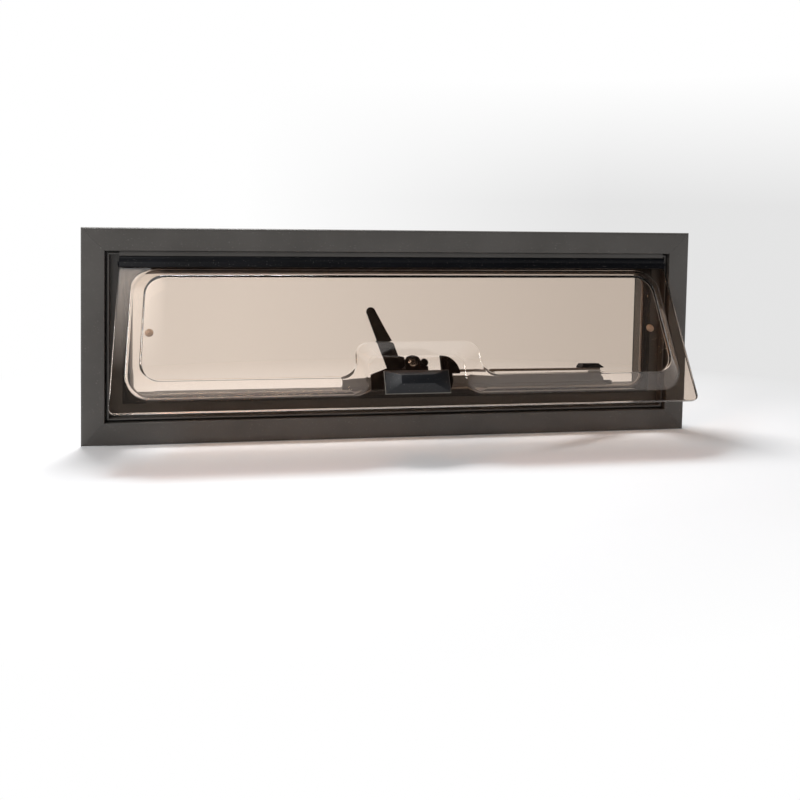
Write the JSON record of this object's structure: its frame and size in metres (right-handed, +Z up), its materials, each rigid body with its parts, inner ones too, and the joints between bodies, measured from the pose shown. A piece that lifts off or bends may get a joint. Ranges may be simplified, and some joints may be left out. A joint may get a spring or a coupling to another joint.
{
  "type": "top-hung caravan window",
  "caption": "Small top-hung caravan window with a painted aluminium frame, a domed smoked double acrylic pane, a lever latch and a sliding stay, standing open.",
  "frame": {"origin": "on the back face of the frame's flange, at the middle of the top rail, which lies on the outer skin of the wall", "axes": "+X along the width, to the right seen from outside; +Y into the wall, towards the room; +Z up"},
  "size_m": [0.7, 0.1173, 0.237],
  "materials": {
    "frame_paint": "satin dark grey paint",
    "seal_rubber": "matt black rubber",
    "trim_grey": "light grey",
    "clamp_plastic": "matt dark",
    "hinge_black": "satin black",
    "acrylic_inner": "smoked acrylic",
    "acrylic_outer": "smoked acrylic",
    "latch_black": "moulded black",
    "rim_grey": "light edge",
    "bar_metal": "satin",
    "stay_metal": "satin",
    "screw_steel": "bright",
    "plug_clear": "pale gloss"
  },
  "bodies": {
    "frame": {"frame_top_rail": "frame_paint", "frame_bottom_rail": "frame_paint", "frame_left_rail": "frame_paint", "frame_right_rail": "frame_paint", "seal_top": "seal_rubber", "seal_bottom": "seal_rubber", "seal_left": "seal_rubber", "seal_right": "seal_rubber", "trim_top": "trim_grey", "trim_bottom": "trim_grey", "trim_left": "trim_grey", "trim_right": "trim_grey", "clamp_top": "clamp_plastic", "clamp_bottom": "clamp_plastic", "clamp_left": "clamp_plastic", "clamp_right": "clamp_plastic", "hinge_frame_rail": "frame_paint", "keeper_bar": "bar_metal", "bar_stop": "latch_black"},
    "pane": {"hinge_sash_rail": "hinge_black", "hinge_end_caps": "hinge_black", "inner_sheet": "acrylic_inner", "outer_dome_sheet": "acrylic_outer", "latch_block": "latch_black", "block_rim": "rim_grey", "latch_base": "latch_black", "stay_bracket": "latch_black", "lever_stop": "latch_black", "vent_plugs": "plug_clear"},
    "lever": {"lever_handle": "latch_black", "lever_collar": "latch_black", "hub_screw": "screw_steel", "lever_tongue": "bar_metal"},
    "shoe": {"stay_shoe": "latch_black"},
    "stay": {"stay_arm": "stay_metal", "stay_clip": "latch_black"}
  },
  "joints": [
    {"name": "pane_hinge", "type": "hinge", "parent": "frame", "child": "pane", "pos_m": [0, 0.003, -0.0225], "axis": [-1, 0, 0], "range_deg": [-31, 7]},
    {"name": "lever_turn", "type": "hinge", "parent": "pane", "child": "lever", "pos_m": [0.002, -0.05932, -0.12622], "axis": [0, 0.8572, -0.515], "range_deg": [-64, 26]},
    {"name": "stay_slide", "type": "slide", "parent": "frame", "child": "shoe", "axis": [-1, 0, 0], "range_m": [-0.01131, 0.00259]},
    {"name": "stay_turn", "type": "hinge", "parent": "shoe", "child": "stay", "pos_m": [0.243, 0.0145, -0.1549], "axis": [0.0184, 0.1631, 0.9864], "range_deg": [-19.66, 4.48]}
  ],
  "couplings": [
    {"joint": "stay_slide", "follows": "pane_hinge", "m_per_rad": 0.020807},
    {"joint": "stay_turn", "follows": "pane_hinge", "ratio": 0.63264}
  ]
}
